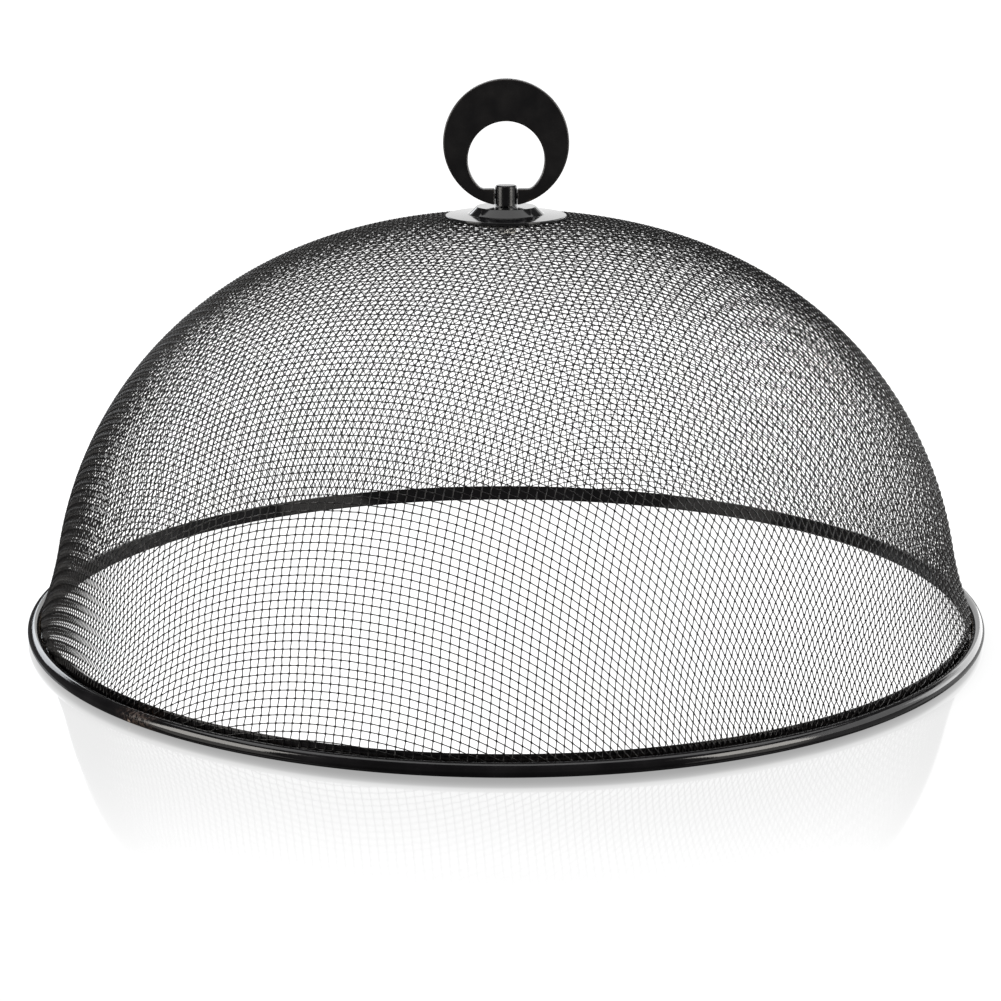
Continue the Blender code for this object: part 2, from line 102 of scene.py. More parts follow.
# Top plate
PLATE_EDGE_HEIGHT = 0.001
PLATE_EDGE_ROUND = 0.0003
PLATE_FOOT_CHAMFER = 0.0001
PLATE_SHEET = 0.0007
PLATE_BRIM_RISE = 0.0003
PLATE_STEP_FOOT_RADIUS = 0.0136
PLATE_STEP_TOP_RADIUS = 0.0107
PLATE_STEP_ROUND = 0.0005
PLATE_STEP_FILLET = 0.0012

# Stem and its stud
STEM_TOP_RADIUS = 0.0039
STEM_HEIGHT = 0.00725
STEM_TOP_ROUND = 0.0008
STEM_FOOT_CHAMFER = 0.0001
STUD_RADIUS = 0.002
STUD_HOLE_RADIUS = 0.0024
STUD_CHAMFER = 0.0004
THREAD_PITCH = 0.0007
THREAD_DEPTH = 0.0003
THREAD_FLANK_SHARE = 0.45

# Ring handle about its pin, and the pin's bores
PIN_ABOVE_STEM_FOOT = 0.0033
PIN_BORE_RADIUS = 0.00108
PIN_BORE_DEPTH = 0.0032
RING_RADIUS = 0.0224
RING_THICKNESS = 0.0044
RING_EDGE_ROUND = 0.0006
RING_CENTRE_ABOVE_PIN = 0.01905
HOLE_RADIUS = 0.0136
HOLE_CENTRE_ABOVE_PIN = 0.01305
BAR_TOP_ABOVE_PIN = 0.0026
KNUCKLE_LOW_FACE = 0.00399
KNUCKLE_TOP_FACE = 0.003935
HOLE_CORNER_ROUND = 0.0012
KNUCKLE_ROUND = 0.0007

# Fineness
RIM_SEGMENTS = 360
PLATE_SEGMENTS = 144
STEM_SEGMENTS = 96
BORE_SEGMENTS = 48
RING_STEPS = 150
HOLE_STEPS = 110
RING_EDGE_STEPS = 4
CORNER_STEPS = 8
BEAD_STEPS = 40
BEAD_INNER_STEPS = 24
RIM_FOOT_STEPS = 6
SHEET_EDGE_STEPS = 4
PLATE_FILLET_STEPS = 10
CUT_OVERRUN = 0.001
MERGE_DISTANCE = 0.000002
SHARP_ANGLE = math.radians(38)

# Enamels: colour, lowest and highest roughness, strength of the orange peel
ENAMELS = {
    "rim_enamel": ((0.004, 0.0037, 0.0043), (0.07, 0.15), 0.3),
    "plate_enamel": ((0.0045, 0.0045, 0.005), (0.05, 0.10), 0.12),
    "stem_enamel": ((0.003, 0.0028, 0.0033), (0.2, 0.28), 0.3),
}

# All enamels. A noise is given as scale, detail and roughness, a range as its two ends
ENAMEL_IOR = 1.52
ENAMEL_CLOUD = (90.0, 3.0, 0.5)
ENAMEL_CLOUD_TONES = (0.35, 0.7)
ENAMEL_CLOUD_GLOSS = (0.3, 0.75)
ENAMEL_LIGHTER_TIMES = 2.2
ENAMEL_LIGHTER_PLUS = 0.002
PEEL = (1500.0, 2.0, 0.5)
PEEL_DEPTH = 0.00003
DUST = (2600.0, 2.0, 0.7)
DUST_SPECKS = (0.66, 0.78)
DUST_SHARE = 0.25
DUST_COLOUR = (0.10, 0.095, 0.09)

# Wear on the rim: tan along the strip's edge, outward from the lip, which is also a painted highlight of
# the lip, and brown beside the seam
LIP_WEAR_HIGHLIGHT_OUTER = (0.00012, 0.00042)
LIP_WEAR_HIGHLIGHT_INNER = (-0.0003, -0.0001)
LIP_WEAR_HIGHLIGHT_HEIGHTS = (0.0028, 0.0033)
LIP_WEAR_HIGHLIGHT_PATCHES = (420.0, 3.0, 0.5)
LIP_WEAR_HIGHLIGHT_PATCH_TONES = (0.36, 0.62)
LIP_WEAR_HIGHLIGHT_PATCH_SHARES = (0.25, 1.0)
LIP_WEAR_HIGHLIGHT_COLOUR = (0.30, 0.235, 0.17)
LIP_WEAR_HIGHLIGHT_ROUGHER = 0.12
SCUFF_TURN = SEAM_TURN + math.radians(1.3)
SCUFF_OUTWARD = BEAD_RADIUS * 2
SCUFF_REACH = (0.003, 0.012)
SCUFF_GRAIN = (900.0, 4.0, 0.65)
SCUFF_GRAIN_TONES = (0.45, 0.6)
SCUFF_SHARE = 0.7
SCUFF_COLOUR = (0.085, 0.052, 0.038)
SCUFF_ROUGHER = 0.35
CHIP_OUTWARD = BEAD_RADIUS * 1.9
CHIP_HEIGHT = 0.0011
CHIP_REACH = (0.0006, 0.0009)
CHIP_COLOUR = (0.62, 0.50, 0.42)

# Powder coat on the wires
WIRE_IOR = 1.45
WIRE_CLOUD = (260.0, 3.0, 0.5)
WIRE_CLOUD_TONES = (0.35, 0.7)
WIRE_COLOURS = ((0.0045, 0.0042, 0.0048), (0.009, 0.008, 0.0082))
WIRE_GRAIN = (3200.0, 2.0, 0.5)
WIRE_GRAIN_TONES = (0.3, 0.7)
WIRE_ROUGHNESS = (0.24, 0.42)

# Satin moulding of the ring
PLASTIC_IOR = 1.5
PLASTIC_CLOUD = (140.0, 4.0, 0.5)
PLASTIC_CLOUD_TONES = (0.35, 0.68)
PLASTIC_CLOUD_GLOSS = (0.3, 0.75)
PLASTIC_COLOURS = ((0.0042, 0.0038, 0.0045), (0.0072, 0.0064, 0.0068))
PLASTIC_ROUGHNESS = (0.28, 0.42)
PLASTIC_GRAIN = (5200.0, 2.0, 0.6)
PLASTIC_GRAIN_DEPTH = 0.00002
PLASTIC_GRAIN_STRENGTH = 0.5
# Edges lighter and warmer by pointiness: rubbing wear and a painted edge highlight
RUBBED_HIGHLIGHT_POINTINESS = (0.515, 0.56)
RUBBED_HIGHLIGHT_SHARES = (0.0, 0.5)
RUBBED_HIGHLIGHT_COLOUR = (0.075, 0.058, 0.048)

# Zinc plate of the hidden pieces
ZINC_CLOUD = (320.0, 4.0, 0.5)
ZINC_CLOUD_TONES = (0.3, 0.7)
ZINC_COLOURS = ((0.50, 0.51, 0.54), (0.66, 0.64, 0.58))
ZINC_GRAIN = (2400.0, 3.0, 0.5)
ZINC_GRAIN_TONES = (0.3, 0.7)
ZINC_ROUGHNESS = (0.24, 0.40)
ZINC_GRAIN_DEPTH = 0.00002
ZINC_GRAIN_STRENGTH = 0.4
HIDDEN_PIECES = ("backing_washer", "nut", "hinge_pin")

# Floor: its glow, and the share of it that lights the pieces
FLOOR_SIZE = 60
FLOOR_GLOW = 1.35
FLOOR_LIGHT = 0.09 * FLOOR_GLOW
FLOOR_GLOSS_SHARE = 0.14
FLOOR_GLOSS_ROUGHNESS = 0.06

# The rim's shade in front: distance outside its foot and level of the floor there
SHADE_SHIFT = 0.011
SHADE_BAND = (
    (-0.011, 0.42),
    (-0.006, 0.44),
    (-0.004, 0.465),
    (-0.0016, 0.54),
    (0.0002, 0.64),
    (0.002, 0.88),
    (0.004, 0.945),
    (0.007, 0.975),
    (0.02, 0.985),
    (0.035, 1.01),
    (0.05, 1.05),
    (0.065, 1.1),
    (0.08, 1.18),
)
UNSHADED_INSIDE = (FOOT_RADIUS - 0.002, FOOT_RADIUS)
UNSHADED_BEHIND = (-0.02, 0.03)

# World: its light on the pieces, and how bright the camera sees it
WORLD_LIGHT = 0.06
WORLD_GLOW = 1.3

# Softboxes: name, place, the point that each faces, width, height, radiance and colour
WHITE = (1.0, 1.0, 1.0)
WARM = (1.0, 0.97, 0.92)
COOL = (0.93, 0.96, 1.0)
SOFTBOXES = (
    ("backdrop", (0.715, 0.6, 0.1785), (0.715, 0, 0.1785), 1.97, 0.357, 1.4, WHITE),
    ("above_backdrop", (0, 0.6, 0.425), (0, 0, 0.425), 0.9, 0.08, 0.36, WHITE),
    ("front_left", (-0.99, -0.45, 0.34), (-0.1, -0.14, 0), 0.65, 0.7, 6.5, WARM),
    ("front_right", (0.89, -0.63, 0.34), (0.075, -0.155, 0), 0.5, 0.7, 7.4, WARM),
    ("right", (1.1, 0.08, 0.45), (0.15, -0.05, 0.3), 1.1, 0.9, 1.4, WHITE),
    ("overhead", (0, 0.25, 1.35), (0, 0.25, 0), 2.1, 1.1, 1.7, WHITE),
    ("back_right", (0.9, 0.66, 0.27), (0.15, -0.05, 0.1), 1.0, 0.54, 2.3, WHITE),
    ("back_left", (-0.49, 0.59, 0.29), (-0.15, -0.05, 0.05), 0.46, 0.2, 3.6, COOL),
)

# Camera, fitted to the photograph's 1001 pixel frame
FRAME_PIXELS = 1001
FOCAL_PIXELS = 2523
SENSOR_WIDTH = 36
CAMERA_PLACE = (-0.0020, -0.8991, 0.2742)
CAMERA_PITCH = math.radians(14.415)

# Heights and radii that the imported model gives
plate_low, plate_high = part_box("top_plate")
stem_low, stem_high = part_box("stem")
STEM_FOOT = stem_high.z - STEM_HEIGHT
STEM_FOOT_RADIUS = stem_high.x
PIN_HEIGHT = STEM_FOOT + PIN_ABOVE_STEM_FOOT


# Shader nodes


def new_material(name):
    material = bpy.data.materials.new(name)
    material.use_nodes = True
    return material, material.node_tree, material.node_tree.nodes["Principled BSDF"]


def object_place(tree):
    return tree.nodes.new("ShaderNodeTexCoord").outputs["Object"]


def separate(tree, vector):
    node = tree.nodes.new("ShaderNodeSeparateXYZ")
    tree.links.new(vector, node.inputs["Vector"])
    return node.outputs


def noise(tree, coordinates, scale, detail, roughness):
    node = tree.nodes.new("ShaderNodeTexNoise")
    node.inputs["Scale"].default_value = scale
    node.inputs["Detail"].default_value = detail
    node.inputs["Roughness"].default_value = roughness
    tree.links.new(coordinates, node.inputs["Vector"])
    return node.outputs["Fac"]


def spread(tree, value, source, target=(0.0, 1.0)):
    """A value carried over from one range to another, each given as its two ends."""
    node = tree.nodes.new("ShaderNodeMapRange")
    node.inputs["From Min"].default_value = source[0]
    node.inputs["From Max"].default_value = source[1]
    node.inputs["To Min"].default_value = target[0]
    node.inputs["To Max"].default_value = target[1]
    tree.links.new(value, node.inputs["Value"])
    return node.outputs["Result"]


def blend_colours(tree, share, first, second):
    """A colour between two, each given as a colour or as another node's output."""
    node = tree.nodes.new("ShaderNodeMix")
    node.data_type = "RGBA"
    tree.links.new(share, node.inputs["Factor"])
    for socket, colour in ((node.inputs[6], first), (node.inputs[7], second)):
        if isinstance(colour, tuple):
            socket.default_value = (*colour, 1.0)
        else:
            tree.links.new(colour, socket)
    return node.outputs[2]


def combine(tree, operation, first, second):
    """A sum, a product or the like of two values, each a number or another node's output."""
    node = tree.nodes.new("ShaderNodeMath")
    node.operation = operation
    for socket, value in ((node.inputs[0], first), (node.inputs[1], second)):
        if isinstance(value, (int, float)):
            socket.default_value = value
        else:
            tree.links.new(value, socket)
    return node.outputs["Value"]


def distance_from(tree, coordinates, point):
    node = tree.nodes.new("ShaderNodeVectorMath")
    node.operation = "DISTANCE"
    tree.links.new(coordinates, node.inputs[0])
    node.inputs[1].default_value = point
    return node.outputs["Value"]


def near_point(tree, coordinates, point, reach):
    """One up to the near end of a reach from a point, falling to zero at its far end."""
    return spread(tree, distance_from(tree, coordinates, point), reach, (1.0, 0.0))


def bump(tree, height, depth, strength):
    node = tree.nodes.new("ShaderNodeBump")
    node.inputs["Distance"].default_value = depth
    node.inputs["Strength"].default_value = strength
    tree.links.new(height, node.inputs["Height"])
    return node.outputs["Normal"]


def ray_kind(tree, kind):
    return tree.nodes.new("ShaderNodeLightPath").outputs[kind]


# Materials


def enamel(name):
    """Baked black enamel: faint orange peel, uneven gloss and a little settled dust."""
    colour, roughness, peel_strength = ENAMELS[name]
    material, tree, shader = new_material(name)
    place = object_place(tree)
    cloud = noise(tree, place, *ENAMEL_CLOUD)
    lighter = tuple(channel * ENAMEL_LIGHTER_TIMES + ENAMEL_LIGHTER_PLUS for channel in colour)
    clouded = blend_colours(tree, spread(tree, cloud, ENAMEL_CLOUD_TONES), colour, lighter)
    specks = spread(tree, noise(tree, place, *DUST), DUST_SPECKS)
    dusty = blend_colours(tree, combine(tree, "MULTIPLY", specks, DUST_SHARE), clouded, DUST_COLOUR)
    rough = spread(tree, cloud, ENAMEL_CLOUD_GLOSS, roughness)
    peel = bump(tree, noise(tree, place, *PEEL), PEEL_DEPTH, peel_strength)
    tree.links.new(dusty, shader.inputs["Base Color"])
    tree.links.new(rough, shader.inputs["Roughness"])
    tree.links.new(peel, shader.inputs["Normal"])
    shader.inputs["IOR"].default_value = ENAMEL_IOR
    return material, tree, shader, dusty, rough


def rim_enamel_with_wear_and_highlight():
    """The rim's enamel, thin and tan along the strip's edge, where the tan is wear and also a painted
    highlight of the lip, and scuffed beside the seam.
    """
    material, tree, shader, colour, rough = enamel("rim_enamel")
    place = object_place(tree)
    wear_highlight_share = lip_wear_highlight_mask(tree, place)
    # Tan along the lip: wear, and a painted highlight where the lip catches light
    colour = blend_colours(tree, wear_highlight_share, colour, LIP_WEAR_HIGHLIGHT_COLOUR)

    scuffed = near_point(tree, place, rim_point(SCUFF_TURN, SCUFF_OUTWARD, 0), SCUFF_REACH)
    grain = spread(tree, noise(tree, place, *SCUFF_GRAIN), SCUFF_GRAIN_TONES)
    scuff = combine(tree, "MULTIPLY", scuffed, grain)
    colour = blend_colours(tree, combine(tree, "MULTIPLY", scuff, SCUFF_SHARE), colour, SCUFF_COLOUR)
    chip = near_point(tree, place, rim_point(SEAM_TURN, CHIP_OUTWARD, CHIP_HEIGHT), CHIP_REACH)
    colour = blend_colours(tree, chip, colour, CHIP_COLOUR)
    tree.links.new(colour, shader.inputs["Base Color"])

    rough = combine(tree, "ADD", rough, combine(tree, "MULTIPLY", scuff, SCUFF_ROUGHER))
    rough = combine(tree, "ADD", rough, combine(tree, "MULTIPLY", wear_highlight_share, LIP_WEAR_HIGHLIGHT_ROUGHER))
    tree.links.new(rough, shader.inputs["Roughness"])
    return material


def lip_wear_highlight_mask(tree, place):
    """Patchy share of wear along the upper edge of the rolled strip, which also paints a highlight of
    the lip there.
    """
    x, y, height = separate(tree, place)
    flat = tree.nodes.new("ShaderNodeCombineXYZ")
    tree.links.new(x, flat.inputs["X"])
    tree.links.new(y, flat.inputs["Y"])
    radius = distance_from(tree, flat.outputs["Vector"], (0, 0, 0))
    lip = FOOT_RADIUS + SLOT_HALF
    outer = spread(tree, radius, [lip + reach for reach in LIP_WEAR_HIGHLIGHT_OUTER], (1.0, 0.0))
    inner = spread(tree, radius, [lip + reach for reach in LIP_WEAR_HIGHLIGHT_INNER])
    high = spread(tree, height, LIP_WEAR_HIGHLIGHT_HEIGHTS)
    edge = combine(tree, "MULTIPLY", combine(tree, "MULTIPLY", outer, high), inner)
    patches = spread(tree, noise(tree, place, *LIP_WEAR_HIGHLIGHT_PATCHES), LIP_WEAR_HIGHLIGHT_PATCH_TONES, LIP_WEAR_HIGHLIGHT_PATCH_SHARES)
    return combine(tree, "MULTIPLY", edge, patches)


def rim_point(turn, outward, height):
    """A place on the rim at an angle from the front, outward from the lip and at a height."""
    radius = FOOT_RADIUS + SLOT_HALF + outward
    return (radius * math.sin(turn), -radius * math.cos(turn), height)


def wire_paint():
    """Powder coat on the wires: near black, with cloudy tones and uneven gloss."""
    material, tree, shader = new_material("wire_paint")
    place = object_place(tree)
    cloud = spread(tree, noise(tree, place, *WIRE_CLOUD), WIRE_CLOUD_TONES)
    grain = noise(tree, place, *WIRE_GRAIN)
    tree.links.new(blend_colours(tree, cloud, *WIRE_COLOURS), shader.inputs["Base Color"])
    tree.links.new(spread(tree, grain, WIRE_GRAIN_TONES, WIRE_ROUGHNESS), shader.inputs["Roughness"])
    shader.inputs["IOR"].default_value = WIRE_IOR
    return material


def handle_plastic():
    """Satin moulding: fine spark texture, cloudy gloss and slightly rubbed, warmer edges, whose lighter
    colour is also a painted highlight of the edges.
    """
    material, tree, shader = new_material("handle_plastic")
    place = object_place(tree)
    cloud = noise(tree, place, *PLASTIC_CLOUD)
    clouded = blend_colours(tree, spread(tree, cloud, PLASTIC_CLOUD_TONES), *PLASTIC_COLOURS)
    pointiness = tree.nodes.new("ShaderNodeNewGeometry").outputs["Pointiness"]
    rubbed_highlight = spread(tree, pointiness, RUBBED_HIGHLIGHT_POINTINESS, RUBBED_HIGHLIGHT_SHARES)
    rough = spread(tree, cloud, PLASTIC_CLOUD_GLOSS, PLASTIC_ROUGHNESS)
    grain = noise(tree, place, *PLASTIC_GRAIN)
    normal = bump(tree, grain, PLASTIC_GRAIN_DEPTH, PLASTIC_GRAIN_STRENGTH)
    # Lighter edges: rubbed wear and a painted highlight of the edges
    tree.links.new(blend_colours(tree, rubbed_highlight, clouded, RUBBED_HIGHLIGHT_COLOUR), shader.inputs["Base Color"])
    tree.links.new(rough, shader.inputs["Roughness"])
    tree.links.new(normal, shader.inputs["Normal"])
    shader.inputs["IOR"].default_value = PLASTIC_IOR
    return material


def zinc_plate():
    """Bright zinc plate with a blotchy passivated film."""
    material, tree, shader = new_material("zinc_plate")
    place = object_place(tree)
    cloud = spread(tree, noise(tree, place, *ZINC_CLOUD), ZINC_CLOUD_TONES)
    grain = noise(tree, place, *ZINC_GRAIN)
    normal = bump(tree, grain, ZINC_GRAIN_DEPTH, ZINC_GRAIN_STRENGTH)
    tree.links.new(blend_colours(tree, cloud, *ZINC_COLOURS), shader.inputs["Base Color"])
    tree.links.new(spread(tree, grain, ZINC_GRAIN_TONES, ZINC_ROUGHNESS), shader.inputs["Roughness"])
    tree.links.new(normal, shader.inputs["Normal"])
    shader.inputs["Metallic"].default_value = 1.0
    return material


# Building


def new_object(name, mesh):
    obj = bpy.data.objects.new(name, mesh)
    bpy.context.scene.collection.objects.link(obj)
    return obj


def settle(obj):
    """Replaces an object's curve or modifiers by the mesh that they make."""
    graph = bpy.context.evaluated_depsgraph_get()
    mesh = bpy.data.meshes.new_from_object(obj.evaluated_get(graph))
    bm = bmesh.new()
    bm.from_mesh(mesh)
    bmesh.ops.remove_doubles(bm, verts=bm.verts, dist=MERGE_DISTANCE)
    bm.to_mesh(mesh)
    bm.free()
    name = obj.name
    bpy.data.objects.remove(obj, do_unlink=True)
    return new_object(name, mesh)


def finish_piece(obj, material, body, node):
    """Shading, material and carrier of a piece that stands for a node of the CAD model."""
    obj.data.materials.clear()
    obj.data.materials.append(material)
    obj.data.shade_smooth()
    obj.data.set_sharp_from_angle(angle=SHARP_ANGLE)
    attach(obj, body)
    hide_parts(node)


def even_normals(obj):
    """Keeps the broad faces flat where they meet a rounded edge."""
    weighted = obj.modifiers.new("even_normals", "WEIGHTED_NORMAL")
    weighted.keep_sharp = True


def arc(centre, radius, start, end, steps):
    """Points of an arc in a plane, both ends included."""
    points = []
    for step in range(steps + 1):
        angle = start + (end - start) * step / steps
        points.append((centre[0] + radius * math.cos(angle), centre[1] + radius * math.sin(angle)))
    return points


def lathe(name, profile, segments, start=0.0, sweep=math.tau):
    """A closed (radius, height) outline turned about Z, with two end faces if the turn isn't full."""
    whole = sweep >= math.tau
    turns = segments if whole else segments + 1
    bm = bmesh.new()
    rings = []
    for turn in range(turns):
        angle = start + sweep * turn / segments
        rings.append([bm.verts.new((r * math.cos(angle), r * math.sin(angle), z)) for r, z in profile])
    pairs = list(zip(rings, rings[1:]))
    if whole:
        pairs.append((rings[-1], rings[0]))
    for first, second in pairs:
        for corner in range(len(profile)):
            after = (corner + 1) % len(profile)
            bm.faces.new((first[corner], second[corner], second[after], first[after]))
    if not whole:
        bm.faces.new(rings[0])
        bm.faces.new(reversed(rings[-1]))
    bmesh.ops.remove_doubles(bm, verts=bm.verts, dist=MERGE_DISTANCE)
    bmesh.ops.recalc_face_normals(bm, faces=bm.faces)
    mesh = bpy.data.meshes.new(name)
    bm.to_mesh(mesh)
    bm.free()
    return new_object(name, mesh)


def cut_pin_bore(obj, half_length):
    """The piece with the hinge pin's bore cut along X, a half length to either side of the middle."""
    bpy.ops.mesh.primitive_cylinder_add(
        vertices=BORE_SEGMENTS,
        radius=PIN_BORE_RADIUS,
        depth=2 * half_length,
        location=(0, 0, PIN_HEIGHT),
        rotation=(0, math.pi / 2, 0),
    )
    bore = bpy.context.active_object
    modifier = obj.modifiers.new("cut", "BOOLEAN")
    modifier.operation = "DIFFERENCE"
    modifier.solver = "EXACT"
    modifier.object = bore
    bored = settle(obj)
    bpy.data.objects.remove(bore, do_unlink=True)
    return bored


def rounded(corners):
    """Points of a closed outline whose (point, radius) corners are eased where the radius isn't zero."""
    points = []
    for index, (corner, radius) in enumerate(corners):
        if not radius:
            points.append(corner)
            continue
        here = Vector(corner)
        before = Vector(corners[index - 1][0])
        after = Vector(corners[(index + 1) % len(corners)][0])
        start = here + (before - here).normalized() * radius
        end = here + (after - here).normalized() * radius
        for step in range(CORNER_STEPS + 1):
            t = step / CORNER_STEPS
            point = start * (1 - t) ** 2 + here * (2 * t * (1 - t)) + end * t**2
            points.append((point.x, point.y))
    return points


# Pieces


def make_rim(material):
    """The rolled strip, its ends butted at a seam."""
    lip_radius = FOOT_RADIUS + SLOT_HALF
    bead_centre = (lip_radius + BEAD_RADIUS * math.cos(BEAD_LIP_ANGLE), BEAD_RADIUS)
    lip = math.pi - BEAD_LIP_ANGLE
    down = -math.pi / 2
    flange_outer = FOOT_RADIUS - SLOT_HALF
    flange_inner = flange_outer - RIM_SHEET
    middle = BEAD_RADIUS - RIM_SHEET / 2
    lip_end = (bead_centre[0] + middle * math.cos(lip), bead_centre[1] + middle * math.sin(lip))
    foot_centre = (flange_inner + FLANGE_ROUND, FLANGE_ROUND)
    inner_top = (flange_inner + SHEET_ROUND, FLANGE_HEIGHT - SHEET_ROUND)
    outer_top = (flange_outer - SHEET_ROUND, FLANGE_HEIGHT - SHEET_ROUND)
    profile = arc(bead_centre, BEAD_RADIUS, lip, down, BEAD_STEPS)
    profile += arc(foot_centre, FLANGE_ROUND, down, -math.pi, RIM_FOOT_STEPS)
    profile += arc(inner_top, SHEET_ROUND, math.pi, math.pi / 2, SHEET_EDGE_STEPS)
    profile += arc(outer_top, SHEET_ROUND, math.pi / 2, 0, SHEET_EDGE_STEPS)
    profile += [(flange_outer, RIM_SHEET)]
    profile += arc(bead_centre, BEAD_RADIUS - RIM_SHEET, down, lip, BEAD_INNER_STEPS)
    profile += arc(lip_end, RIM_SHEET / 2, lip + math.pi, lip, RIM_FOOT_STEPS)[1:-1]
    gap = SEAM_GAP / FOOT_RADIUS
    start = SEAM_TURN - math.pi / 2 + gap / 2
    rim = lathe("rolled_rim", profile, RIM_SEGMENTS, start, math.tau - gap)
    finish_piece(rim, material, "cover", "rim")


def under_corner(corner, before, after):
    """Where the under side of the pressed sheet turns, below a corner between two outward slopes."""
    reach = PLATE_SHEET / (1 + math.cos(after - before))
    inward = reach * (math.sin(before) + math.sin(after))
    down = reach * (math.cos(before) + math.cos(after))
    return (corner[0] - inward, corner[1] - down)


def make_plate(material):
    """The hat-shaped pressing under the stem."""
    radius = plate_high.x
    top = plate_high.z
    bottom = plate_low.z
    brim_edge = bottom + PLATE_EDGE_HEIGHT
    step_foot = (PLATE_STEP_FOOT_RADIUS, brim_edge + PLATE_BRIM_RISE)
    step_top = (PLATE_STEP_TOP_RADIUS, top)
    wall = math.atan2(top - step_foot[1], PLATE_STEP_FOOT_RADIUS - PLATE_STEP_TOP_RADIUS)
    brim = math.atan2(PLATE_BRIM_RISE, radius - PLATE_STEP_FOOT_RADIUS)
    ease = PLATE_STEP_ROUND * math.tan(wall / 2)
    top_centre = (PLATE_STEP_TOP_RADIUS - ease, top - PLATE_STEP_ROUND)
    reach = PLATE_STEP_FILLET * math.tan((wall - brim) / 2)
    foot_centre = (
        step_foot[0] - reach * math.cos(wall) + PLATE_STEP_FILLET * math.sin(wall),
        step_foot[1] + reach * math.sin(wall) + PLATE_STEP_FILLET * math.cos(wall),
    )
    edge_centre = (radius - PLATE_EDGE_ROUND, brim_edge - PLATE_EDGE_ROUND)
    up, down = math.pi / 2, 1.5 * math.pi
    profile = [(STUD_HOLE_RADIUS, top)]
    profile += arc(top_centre, PLATE_STEP_ROUND, up, up - wall, CORNER_STEPS)
    profile += arc(foot_centre, PLATE_STEP_FILLET, down - wall, down - brim, PLATE_FILLET_STEPS)
    profile += arc(edge_centre, PLATE_EDGE_ROUND, up - brim, 0, CORNER_STEPS)
    profile += [(radius, bottom + PLATE_FOOT_CHAMFER), (radius - PLATE_FOOT_CHAMFER, bottom)]
    profile += [(radius - PLATE_SHEET, bottom), (radius - PLATE_SHEET, brim_edge - PLATE_SHEET)]
    profile += [under_corner(step_foot, wall, brim), under_corner(step_top, 0, wall)]
    profile += [(STUD_HOLE_RADIUS, top - PLATE_SHEET)]
    plate = lathe("pressed_plate", profile, PLATE_SEGMENTS)
    finish_piece(plate, material, "cover", "top_plate")
    even_normals(plate)


def make_stem(material):
    """The tapered stem with its eased top, the pin's bore and the threaded stud."""
    round_centre = (STEM_TOP_RADIUS - STEM_TOP_ROUND, stem_high.z - STEM_TOP_ROUND)
    profile = [(0, stem_high.z)]
    profile += arc(round_centre, STEM_TOP_ROUND, math.pi / 2, 0, CORNER_STEPS)
    profile += [
        (STEM_FOOT_RADIUS - STEM_FOOT_CHAMFER / 2, STEM_FOOT + STEM_FOOT_CHAMFER),
        (STEM_FOOT_RADIUS - STEM_FOOT_CHAMFER, STEM_FOOT),
        (STUD_RADIUS, STEM_FOOT),
    ]
    height = STEM_FOOT - THREAD_PITCH
    while height - THREAD_PITCH > stem_low.z + STUD_CHAMFER:
        profile += [
            (STUD_RADIUS, height),
            (STUD_RADIUS - THREAD_DEPTH, height - THREAD_PITCH * THREAD_FLANK_SHARE),
            (STUD_RADIUS - THREAD_DEPTH, height - THREAD_PITCH * (1 - THREAD_FLANK_SHARE)),
            (STUD_RADIUS, height - THREAD_PITCH),
        ]
        height -= THREAD_PITCH
    profile += [
        (STUD_RADIUS, stem_low.z + STUD_CHAMFER),
        (STUD_RADIUS - STUD_CHAMFER, stem_low.z),
        (0, stem_low.z),
    ]
    stem = cut_pin_bore(lathe("turned_stem", profile, STEM_SEGMENTS), STEM_FOOT_RADIUS + CUT_OVERRUN)
    finish_piece(stem, material, "cover", "stem")
    even_normals(stem)


def ring_outline():
    """Outline of the handle about its pin: X to the right, Y upwards, open where the stem stands."""
    bar_start = -math.acos(KNUCKLE_LOW_FACE / RING_RADIUS)
    rim = arc((0, RING_CENTRE_ABOVE_PIN), RING_RADIUS, bar_start, math.pi - bar_start, RING_STEPS)
    flat = -math.asin((HOLE_CENTRE_ABOVE_PIN - BAR_TOP_ABOVE_PIN) / HOLE_RADIUS)
    hole = arc((0, HOLE_CENTRE_ABOVE_PIN), HOLE_RADIUS, math.pi - flat, flat, HOLE_STEPS)
    corners = eased_ends(rim, KNUCKLE_ROUND)
    corners += [((-KNUCKLE_TOP_FACE, BAR_TOP_ABOVE_PIN), KNUCKLE_ROUND)]
    corners += eased_ends(hole, HOLE_CORNER_ROUND)
    corners += [((KNUCKLE_TOP_FACE, BAR_TOP_ABOVE_PIN), KNUCKLE_ROUND)]
    return rounded(corners)


def eased_ends(points, radius):
    """Corners of a curve whose two ends are to be eased, without the points that the easing replaces."""
    first, last = points[0], points[-1]
    between = []
    for point in points:
        if min(math.dist(point, first), math.dist(point, last)) > radius:
            between.append((point, 0))
    return [(first, radius)] + between + [(last, radius)]


def make_ring(material):
    """The moulded ring, with rounded edges and a blind pin hole in each knuckle."""
    outline = ring_outline()
    curve = bpy.data.curves.new("ring", "CURVE")
    curve.dimensions = "2D"
    curve.fill_mode = "BOTH"
    curve.extrude = RING_THICKNESS / 2 - RING_EDGE_ROUND
    curve.bevel_depth = RING_EDGE_ROUND
    curve.bevel_resolution = RING_EDGE_STEPS
    curve.offset = -RING_EDGE_ROUND
    spline = curve.splines.new("POLY")
    spline.points.add(len(outline) - 1)
    for point, (x, y) in zip(spline.points, outline):
        point.co = (x, y, 0, 1)
    spline.use_cyclic_u = True
    ring = settle(new_object("moulded_ring", curve))
    for vert in ring.data.vertices:
        x, y, z = vert.co
        vert.co = (x, -z, PIN_HEIGHT + y)
    ring = cut_pin_bore(ring, KNUCKLE_LOW_FACE + PIN_BORE_DEPTH)
    finish_piece(ring, material, "handle", "ring_handle")
    even_normals(ring)


